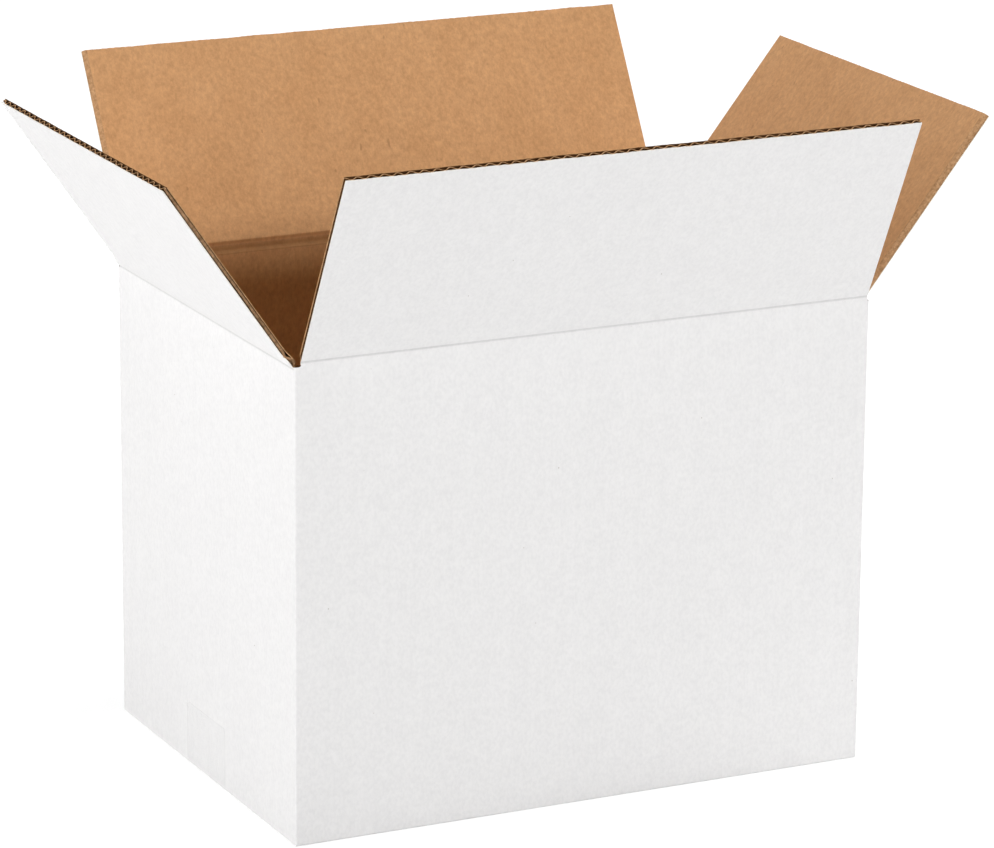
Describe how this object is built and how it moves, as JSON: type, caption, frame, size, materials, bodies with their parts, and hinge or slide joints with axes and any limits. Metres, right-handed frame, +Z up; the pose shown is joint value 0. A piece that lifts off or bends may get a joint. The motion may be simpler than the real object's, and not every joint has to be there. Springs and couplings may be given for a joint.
{
  "type": "corrugated shipping box",
  "caption": "Regular slotted corrugated carton, white outside and brown kraft inside, with its bottom taped shut and its top flaps standing open.",
  "frame": {"origin": "centre of the flat underside", "axes": "+X along the length, -Y towards the front long wall, +Z up from the floor"},
  "size_m": [0.4435, 0.3295, 0.3419],
  "materials": {
    "board": "matte, white coated liner outside, brown kraft liner inside",
    "tape": "clear gloss film"
  },
  "bodies": {
    "box": {"box_body": "board", "bottom_tape": "tape"},
    "front_flap": {"front_flap": "board"},
    "back_flap": {"back_flap": "board"},
    "left_flap": {"left_flap": "board"},
    "right_flap": {"right_flap": "board"}
  },
  "joints": [
    {"name": "front_fold", "type": "hinge", "parent": "box", "child": "front_flap", "pos_m": [0, -0.11112, 0.24213], "axis": [1, 0, 0], "range_deg": [-117.5, 147.5]},
    {"name": "back_fold", "type": "hinge", "parent": "box", "child": "back_flap", "pos_m": [0, 0.11112, 0.24213], "axis": [-1, 0, 0], "range_deg": [-120.5, 144.5]},
    {"name": "left_fold", "type": "hinge", "parent": "box", "child": "left_flap", "pos_m": [-0.15552, 0, 0.23888], "axis": [0, -1, 0], "range_deg": [-125, 140]},
    {"name": "right_fold", "type": "hinge", "parent": "box", "child": "right_flap", "pos_m": [0.15552, 0, 0.23888], "axis": [0, 1, 0], "range_deg": [-128.5, 136.5]}
  ]
}
